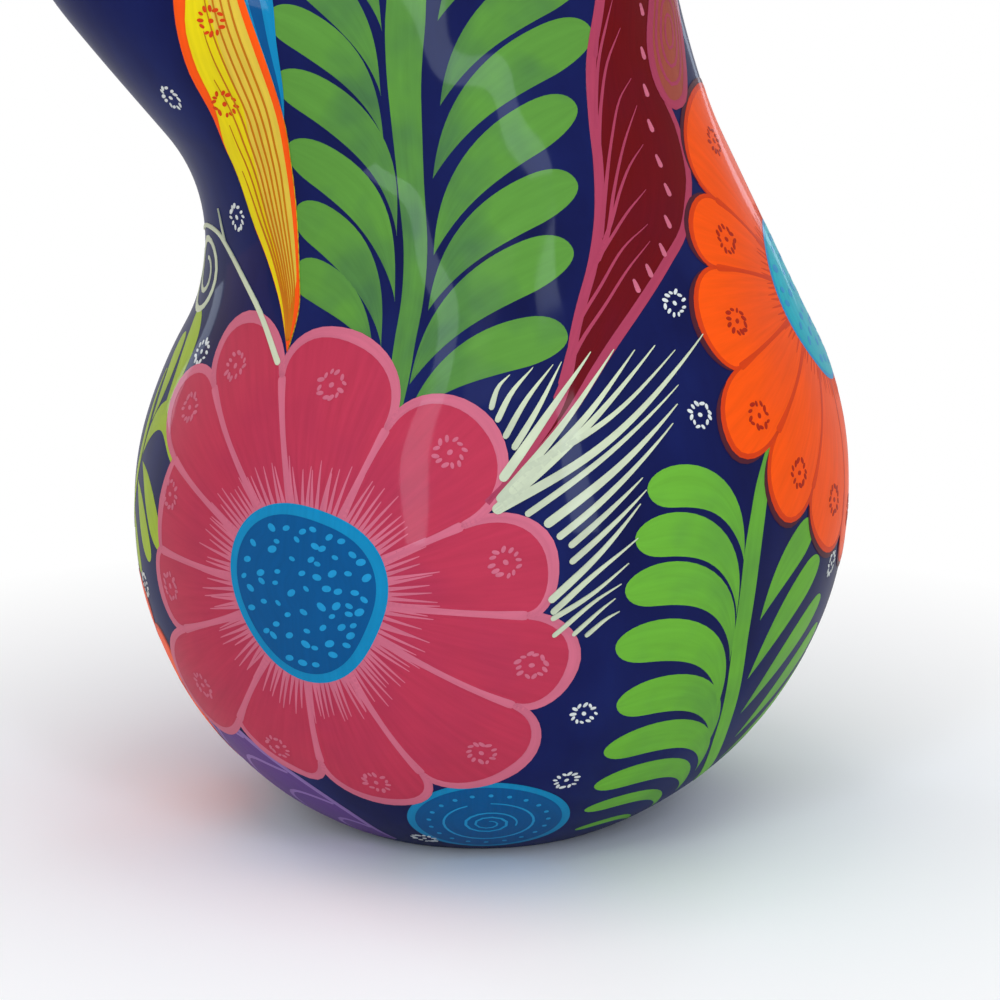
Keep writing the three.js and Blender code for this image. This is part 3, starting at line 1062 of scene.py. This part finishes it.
def central_fern(side):
    piece = side.name + "_fern"
    stem = [(72.8, 118), (73, 127), (72.8, 136), (72.9, 145), (72, 156), (68.7, 172), (65.9, 192),
            (64.8, 213), (64, 232), (64, 252), (65, 268), (67, 284)]
    draw(side, piece, "leaf", 2, stem, [4, 5, 5.3, 5.8, 6.4, 7.6, 9.5, 9, 7.5, 6, 4, 1.5])
    right = [(75.5, 120, 102.5, 137.5, 11.6), (75, 127, 105, 156, 12.2), (76.3, 143, 107.5, 170.5, 11.8),
             (75.9, 155, 109.5, 187.5, 11.6), (73.6, 172, 117, 204, 12), (73.5, 188.5, 116.5, 218, 11.6),
             (71.5, 208, 114, 235, 11.2), (70.5, 226, 112, 251, 10.6), (70.5, 243, 108, 266, 9.8),
             (70.5, 259, 98, 279, 7.6)]
    left = [(67.6, 131.5, 46, 149, 9.8), (68.5, 134.5, 44.5, 163, 10.4), (69.5, 144.5, 43.5, 178, 10.6),
            (67.6, 159, 44, 195, 10.2), (62.5, 180, 44, 210, 9.6), (61.5, 191, 44, 224, 9.4),
            (61, 206, 44, 236, 9.2), (60.5, 222, 44, 250, 9), (61, 238, 45, 263, 8.4),
            (62, 254, 48, 276, 7)]
    leaves(side, piece, "leaf", 1, right, 0.125)
    leaves(side, piece, "leaf", 1, left, -0.13, SHARP, SHARP, 1.4)


def right_sprig(side):
    piece = side.name + "_sprig"
    stem = [(140, 111), (136.5, 101.5), (134.5, 93), (133.1, 83), (132.9, 67), (133.8, 57), (137.9, 38),
            (143, 27), (153, 15)]
    draw(side, piece, "lime", 2, stem, [0.6, 4.5, 5.6, 5.4, 5, 4.8, 4.6, 4, 3])
    left = [(131.4, 82, 113.8, 102.5, 10), (131, 69, 111.6, 91.5, 10.4), (131.9, 57, 110.3, 79.5, 10.6),
            (133.2, 42.5, 109.6, 65.5, 11), (136.8, 31.5, 111.4, 50, 11), (141.5, 22, 111.5, 36.5, 10.2),
            (144, 14.5, 112.6, 25.4, 8.6), (143, 9, 113.8, 16.8, 6), (141, 5, 117, 8, 4)]
    right = [(137, 66, 149.8, 86, 8.7), (138.3, 50, 153, 76, 8.7), (142, 39, 158, 64, 8.7),
             (147.5, 30, 164, 54, 8.7), (151, 22, 170, 44, 8.7), (155, 15.5, 174, 31, 8.7)]
    leaves(side, piece, "lime", 1, left, -0.27, 2.2, 3.5, 1.4)
    leaves(side, piece, "lime", 1, right, 0.1)


def left_sprig(side):
    """The olive sprig round the beak's root."""
    piece = side.name + "_olive_sprig"
    draw(side, piece, "olive", 2, [(10, 118), (11, 104), (9, 90), (6, 76)], [1, 3, 3, 2])
    up = [(18.9, 109, 12, 132.5, 8), (13.4, 106, 8.5, 126, 7)]
    out = [(12, 97, 31, 100, 9)]
    down = [(13, 95.5, 26.5, 78, 7.5), (10.5, 90, 21.5, 73, 7), (8, 82, 13.5, 67, 6)]
    for rows, bow in ((up, -0.2), (out, 0.38), (down, 0.1)):
        leaves(side, piece, "olive", 1, rows, bow)


def hatch(side):
    """The fan of cream hairs between flower and sprig, each pressed on and then lifted off to nothing."""
    fan = [
        (89, 122, 90.1, 126.9, 92, 129.5, 1.3), (90, 119.4, 92.3, 125.6, 96, 131, 1.4),
        (91.3, 115.9, 94.6, 123.8, 99.5, 131.5, 1.4), (92.7, 113.5, 96.8, 122.6, 101, 132, 1.5),
        (91, 106.7, 97.9, 120.4, 106.4, 133.8, 2.2), (90.6, 102.1, 101.3, 119.8, 110.8, 134, 2),
        (92.4, 104, 104, 119.5, 114.8, 133.5, 2), (90, 99.8, 105.2, 118.8, 119, 134, 2.1),
        (94.1, 108.9, 109, 120, 123, 132.5, 1.5), (90.1, 99.8, 107.8, 114.5, 130, 135, 2.1),
        (94.8, 98.9, 109.2, 113.2, 122, 125, 1.5), (97.7, 96.4, 110.5, 110, 121, 121, 2.1),
        (99.6, 93.4, 106.3, 101.3, 119.5, 117, 1.6), (101.4, 91.3, 106.8, 98.1, 113.1, 105.9, 1.5),
        (101.6, 87.5, 107.3, 94.9, 113.6, 103.1, 1.4), (98.7, 78.6, 106.3, 89.8, 112.5, 100.1, 1.7),
        (99.1, 75.7, 104.8, 83.9, 112, 92.3, 1.4), (99.1, 74.2, 104.9, 79.7, 110.6, 86.6, 1.2),
        (99.5, 70, 105.5, 78, 109.6, 81.8, 1.1), (102.5, 70, 106.9, 76.2, 108.8, 78.4, 1),
        (104.5, 69.5, 107.6, 73.5, 109.6, 75.1, 1),
    ]
    lift = np.array([1, 1, 0.85, 0.65, 0.4, 0.1])
    for *places, width in fan:
        draw(side, side.name + "_hatch", "cream", 9, places, lift * width)


def crimson_plume(side):
    piece = side.name + "_crimson_plume"
    left = [(89, 101.8), (99.5, 123), (103.2, 139), (104.8, 144.4), (107.8, 152.6), (110.6, 162.5),
            (112.3, 174), (112.7, 185.3), (114, 197.7), (119.1, 211.2), (124, 230), (132, 246),
            (143, 260)]
    right = [(89, 101.8), (96.6, 112), (101.4, 119), (110.8, 133.5), (117, 140.9), (126.5, 150.5),
             (133.8, 156.8), (138.8, 163.6), (142.3, 169.5), (144, 179.9), (142, 188), (141.5, 199),
             (147, 212), (152, 228), (152, 245), (143, 260)]
    left, right = side.wall(left), side.wall(right)
    brush(piece, "crimson", 3, patch(left, right, crowded(80)))
    brush(piece, "madder", 4, edging(left, [0.8, 2.2, 2.5, 2.6, 2.5, 1.5], side.way))
    brush(piece, "madder", 4, edging(right, [0.8, 2.4, 2.4, 1.6, 1.5, 1.2], -side.way))
    veins = [
        [(99.5, 124), (104.5, 135.5), (110.3, 143.5), (116.5, 151), (123.1, 156.5)],
        [(100.5, 127), (104.4, 139.4), (109.8, 147.5), (116.3, 155.6), (123.6, 160.2)],
        [(106, 145), (109.5, 152.5), (114.1, 158.2), (119.3, 163.4), (125.6, 167.7)],
        [(109.5, 152.5), (114.7, 161.7), (118.3, 168), (122.7, 173.3), (128.5, 177.6)],
        [(110, 153), (113, 158.3), (116.7, 168.2), (122.6, 178.5), (129.4, 186.4)],
        [(111.5, 158), (114.1, 167.3), (118.9, 179.8), (123.7, 188.3), (129.2, 192.7)],
        [(114, 174), (115, 180), (117.5, 188.7), (121.1, 196.8), (127.7, 204.4)],
        [(114.5, 182), (115.8, 189.3), (118.4, 198), (121.9, 204.7), (125.7, 210.9)],
        [(117, 198), (122, 213), (128, 224), (136, 233)],
        [(119, 208), (125, 224), (131, 234), (139, 243)],
    ]
    for vein in veins:
        draw(side, piece, "madder", 5, vein, [1.2, 1.0, 0.75, 0.6, 0.15])
    dashes = [(132.6, 181.5), (132.1, 173.5), (132.1, 167), (129.3, 160.1), (125.8, 154.2),
              (121.2, 150.1), (117.6, 147.1), (134, 189.5), (136, 198), (139, 208), (143, 219)]
    dash = [(-0.4, 1.6), (0, 0), (0.3, -1.5)]
    for middle in dashes:
        draw(side, piece, "rose", 5, np.add(middle, dash), [0.7, 1.2, 1.4])


def yellow_plume(side):
    """A yellow plume with an orange edge and amber veins, and the blue strip beside it."""
    piece = side.name + "_yellow_plume"
    left = [(49.8, 131), (44.3, 141.4), (39.1, 150), (32.9, 160.6), (30.8, 173.4), (31.3, 184.8),
            (30.7, 195.2), (31.1, 205), (31.3, 214), (31, 230), (28, 246), (25, 258)]
    right = [(49.8, 131), (49.4, 141), (47.2, 150), (45.2, 161), (44, 172.3), (44.1, 182.7),
             (43.7, 192.4), (42.5, 203.8), (40.5, 214), (37, 230), (31, 246), (25, 258)]
    left, right = side.wall(left), side.wall(right)
    up = crowded(70)
    # Each band's edges are shares of the plume's breadth that change at fractions of the way up it
    brush(piece, "yellow", 7, patch(left, right, up))
    brush(piece, "straw", 8, patch(left, right, up, 0.4 + 0.15 * smoothstep(up, 0.3, 0.5)))
    brush(piece, "orange", 10, patch(left, right, up, 0.92 * smoothstep(up, 0, 0.14)))
    band = 0.14 * smoothstep(up, 0.38, 0.5) + 0.08 * smoothstep(up, 0.6, 0.67)
    brush(piece, "orange", 9, patch(left, right, up, 0, band))
    veins, top, rise, foot, first, spacing, bow = 8, 0.34, 0.085, 0.02, 0.14, 0.088, 0.06
    for k in range(veins):
        t = np.linspace(top + rise * k, foot, 12)
        share = first + spacing * k + bow * np.sin(math.pi * t / t[0])
        brush(piece, "amber", 11, stroke(within(left, right, t, share), [0.12, 0.4, 0.5, 0.5, 0.4, 0.25]))
    rosettes(side, piece, "vermilion", 11, [(36.2, 208), (34.6, 188)], 0.9)
    strip_left = side.wall([(43.8, 183), (43.6, 192), (42.3, 204), (40.5, 214), (37, 230), (34, 244)])
    strip_right = side.wall([(43.8, 183), (44.9, 192), (45, 203), (44.5, 213), (41, 230), (34, 244)])
    piece = side.name + "_blue_strip"
    brush(piece, "teal", 5, patch(strip_left, strip_right, crowded(40)))
    brush(piece, "azure", 6, patch(strip_left, strip_right, crowded(40), 0.12, 0.55))


def rose_loop(side):
    """The rose outlined loop beside the crimson plume, filled with russet rings."""
    outline = [(145.5, 209.8), (139.8, 199), (139.8, 190.4), (143, 185.6), (150.4, 186), (158, 192),
               (166, 204), (167, 214), (160, 218.5), (151, 216)]
    ring = side.wall(outline + outline[:1])
    middle = side.wall([(153, 202)])
    piece = side.name + "_rose_loop"
    innermost, rows, around = 0.005, 9, 60
    edge = curve(ring, np.linspace(0, 1, around))
    shares = np.linspace(1, innermost, rows)[:, None, None]
    brush(piece, "russet", 6, settle(middle + (edge[None] - middle) * shares))
    for share, width in ((1, 2.2), (0.72, 1.0), (0.48, 0.9), (0.24, 0.8)):
        loop = settle(middle + (ring - middle) * share)
        brush(piece, "madder", 7, stroke(loop, [width] * 2, round_start=False, round_end=False))


def purple_leaf(side):
    """The purple leaf low at the front, scalloped in lilac."""
    low = [(62, 3), (48, 3), (34, 9), (26, 19), (24.5, 30), (28, 39)]
    high = [(62, 3), (57, 14), (50, 23), (42, 31), (35, 37), (28, 39)]
    low, high = side.wall(low), side.wall(high)
    piece = side.name + "_purple_leaf"
    brush(piece, "purple", 1, patch(low, high, crowded(50)))
    for edge in (low, high):
        brush(piece, "lilac", 2, stroke(edge, [0.5, 1.8, 1.8, 1.8, 0.6]))
    scallops, first, spacing, rise, margin = 4, 0.14, 0.2, 0.12, 0.06
    across = np.linspace(margin, 1 - margin, 7)
    for k in range(scallops):
        t = first + spacing * k + rise * np.sin(np.linspace(0, math.pi, len(across)))
        brush(piece, "lilac", 2, stroke(within(low, high, t, across), [1.1, 1.3, 1.1]))


def spiral(side):
    """The cream spiral at the beak's root, and the long stroke from it down to the pink flower."""
    lay = side.chart(12, 143, 16)
    piece = side.name + "_spiral"
    coil = winding(lay, inner=3, growth=8.6, half_turns=3.6)
    brush(piece, "cream", 3, stroke(coil, [1.0, 1.6, 1.7, 1.6]))
    long_stroke = [(6, 152), (11.7, 154), (19.1, 153.7), (22.6, 151.7), (36.9, 140.7), (48.8, 128)]
    draw(side, piece, "cream", 8, long_stroke, [0.9, 1.2, 1.3, 1.4, 1.6])
    draw(side, piece, "cream", 8, [(20.9, 160), (21.3, 156), (22.6, 151.7)], [0.2, 0.6, 0.8])


def small_marks(side):
    piece = side.name + "_rosettes"
    spots = [(24, 188), (28, 159), (25, 126), (125.5, 142.5), (125, 118), (106, 49), (106, 29), (160, 72),
             (16, 65), (74, 6), (22, 226), (37, 266), (120, 272), (160, 236)]
    rosettes(side, piece, "white", 2, spots, 0.85)


def roundel(side):
    """The blue roundel low on the belly: a ring of dots and a ring round a spiral."""
    outer, inner, dot_ring, ring, dot = 20, 18, 14.6, 11, 0.6
    line_widths = [0.4, 0.7, 0.7, 0.4]
    lay = side.chart(92, 14.5, 24)
    piece = side.name + "_roundel"
    brush(piece, "teal", 2, blob(lay, 0, 0, outer, OUTER_SIDE))
    brush(piece, "azure", 3, blob(lay, 0, 0, inner, INNER_SIDE))
    brush(piece, "sky", 4, stroke(polar(lay, ring, np.linspace(0, 330, 24)), line_widths))
    brush(piece, "sky", 4, stroke(winding(lay, inner=1.5, growth=5.5, half_turns=4.6), line_widths))
    dots = 20
    for k in range(dots):
        brush(piece, "sky", 4, blob(lay, *aside(0, 0, dot_ring, 2 * math.pi * k / dots), dot, DOT_SIDE))


def handle_sprig():
    """A lime sprig along the strap's outer face, with white dots between its leaves."""
    length = distances(handle_route())[-1]
    first, last, stem_width, stem_taper, steps = 28, length - 34, 2.2, 0.7, 80
    spacing, leaf_length, leaf_width, leaf_start, lean = 11, 12.5, 4.6, 0.5, math.radians(38)
    dot_offset, dot_share, dot_length, dot_width = 8.6, 0.36, 1.7, 1.3

    def lay(x, y):
        x, y = np.broadcast_arrays(x, y)
        return on_handle(y / length, np.arcsin(2 * x / HANDLE_BREADTH))

    stem = np.linspace(first, last, steps)[:, None]
    taper = 1 - stem_taper * np.linspace(0, 1, steps)[:, None]
    film("handle_sprig", "lime", 2, *lay(stem_width / 2 * np.linspace(-1, 1, 3) * taper, stem))
    t = crowded(11)[:, None]
    half = np.maximum(leaf_halves(t, leaf_width, 1.0, SHARP), THIN) * np.linspace(-1, 1, 5)
    for k in range(int((last - first) / spacing)):
        root = first + spacing * k
        for way in (-1, 1):
            x = way * (leaf_start + leaf_length * t * math.sin(lean)) + half * math.cos(lean)
            y = root + leaf_length * t * math.cos(lean) - way * half * math.sin(lean)
            film("handle_sprig", "lime", 1, *lay(x, y))
            x, y = way * dot_offset, root + spacing * dot_share
            film("handle_dots", "white", 1, *dab(lay, x, y, dot_length, dot_width, lean))


def rim_dabs():
    """Cream touches of the brush at even steps along the top of the rim's roll."""
    angles = np.append(whole_turn(), 2 * math.pi)
    top = math.pi / 2
    along = distances(on_roll(angles, top + 0 * angles))
    spacing, length, width, sway = 8.5, 4.0, 1.4, 0.15

    def lay_from(start):
        def lay(x, y):
            angle = np.interp(start + x, along, angles)
            angle, turn = np.broadcast_arrays(angle, top + 2 * y / ROLL_HEIGHT)
            return on_roll(angle, turn), roll_facing(angle, turn)

        return lay

    for start in np.arange(spacing / 2, along[-1] - spacing / 2, spacing):
        film("rim_dabs", "cream", 1, *dab(lay_from(start), 0, 0, width, length, jitter(sway)))


def side_painting(side):
    """The order of the motifs is the order of the random draws."""
    motifs = [central_fern, right_sprig, left_sprig, crimson_plume, rose_loop, pink_flower, yellow_plume]
    motifs += [purple_leaf, spiral, roundel, hatch, small_marks]
    for motif in motifs:
        motif(side)


# Camera, light and floor


def camera():
    """At the photograph's angle, with a long lens. The top of its frame cuts the neck."""
    target = np.array([5.4, 0, 80.5]) * MM
    distance, elevation = 0.9, math.radians(14)
    data = bpy.data.cameras.new("camera")
    data.lens, data.sensor_width = 127, 36
    seen_from = add_object("camera", data)
    seen_from.location = target + distance * np.array([0, -math.cos(elevation), math.sin(elevation)])
    seen_from.rotation_euler = (math.pi / 2 - elevation, 0, 0)
    bpy.context.scene.camera = seen_from


LAMP_AIM = 0.12  # metres above the floor


def lamp(name, azimuth, elevation, distance, size, radiance, colour):
    """A soft lamp that faces the pitcher. Azimuth 0 is the camera's side and 90 the handle's."""
    data = bpy.data.lights.new(name, "AREA")
    data.shape = "RECTANGLE"
    data.size, data.size_y = size
    data.energy = radiance * math.pi * size[0] * size[1]
    data.color = linear(colour)[:3]
    light = add_object(name, data)
    azimuth, elevation = math.radians(azimuth), math.radians(elevation)
    level = math.cos(elevation)
    away = np.array([level * math.sin(azimuth), -level * math.cos(azimuth), math.sin(elevation)])
    light.location = away * distance + np.array([0, 0, LAMP_AIM])
    light.rotation_euler = (math.pi / 2 - elevation, 0, azimuth)


def in_sight(nodes):
    """1 for what the camera sees, straight or by mirror or glass, and 0 for light on the pitcher."""
    light_path = nodes.add("LightPath").outputs
    seen = light_path["Is Camera Ray"]
    for ray in ("Is Glossy Ray", "Is Transmission Ray"):
        seen = nodes.combine("MAXIMUM", seen, light_path[ray])
    return seen


def studio():
    """A white surround, a large lamp above, a warm wall at the beak's side and four tall windows."""
    world = bpy.data.worlds.new("studio")
    nodes = Nodes(world, "Background")
    world_light = 0.3
    strength = nodes.ramp(in_sight(nodes), 0.0, 1.0, start=world_light)
    bpy.context.scene.world = nodes.shade(Color=linear("#ffffff"), Strength=strength)
    bpy.context.scene.view_settings.view_transform = "Standard"
    lamp("overhead", 25, 74, 2.2, (2.6, 2.6), 1.4, "#ffffff")
    lamp("warm_wall", -112, 12, 2.0, (1.2, 1.5), 1.3, "#c07440")
    windows = [("left", -24, 11), ("right", 26, 11), ("back_left", -134, 5.5), ("back_right", 155, 4.5)]
    for name, azimuth, radiance in windows:
        lamp("window_" + name, azimuth, 20, 2.0, (0.26, 1.5), radiance, "#dcecff")


def floor():
    """A pale floor that shades off to a white surround, for the camera and the varnish's mirror image."""
    half, white_from, white_to = 20.0, 0.1, 0.27  # metres, from the pitcher's axis
    corners = [(-half, -half, 0), (half, -half, 0), (half, half, 0), (-half, half, 0)]
    mesh = bpy.data.meshes.new("floor")
    mesh.from_pydata(corners, [], [(0, 1, 2, 3)])
    piece = add_object("floor", mesh)
    nodes = Nodes(bpy.data.materials.new("pale_floor"))
    where = nodes.add("TexCoord").outputs["Object"]
    paper = nodes.mix(nodes.noise(where, scale=3.0), linear("#f6f6f5"), linear("#fafafa"))
    mesh.materials.append(nodes.shade(Base_Color=paper, Roughness=0.9, Specular_IOR_Level=0.0))
    distance = nodes.add("VectorMath", {"operation": "LENGTH"})
    nodes.set(distance, 0, where)
    surround = nodes.ramp(distance.outputs["Value"], white_from, white_to)
    share = nodes.combine("MULTIPLY", surround, in_sight(nodes))
    white = nodes.add("Emission", Color=linear("#ffffff"), Strength=1.0)
    blend = nodes.add("MixShader")
    for index, value in enumerate((share, nodes.shader.outputs[0], white.outputs[0])):
        nodes.set(blend, index, value)
    nodes.set(nodes.tree.nodes["Material Output"], "Surface", blend.outputs[0])


camera()
studio()
floor()
skins()
for side in (FRONT, BACK):
    side_painting(side)
orange_flower()
small_flower(FRONT, "front_flower", ORANGE_LOOK, 0, 38, 10, 34, 9, 2)
small_flower(FRONT, "beak_flower", PINK_LOOK, 0, 246, 10, 24, 8, 12)
handle_sprig()
rim_dabs()
let_dry()
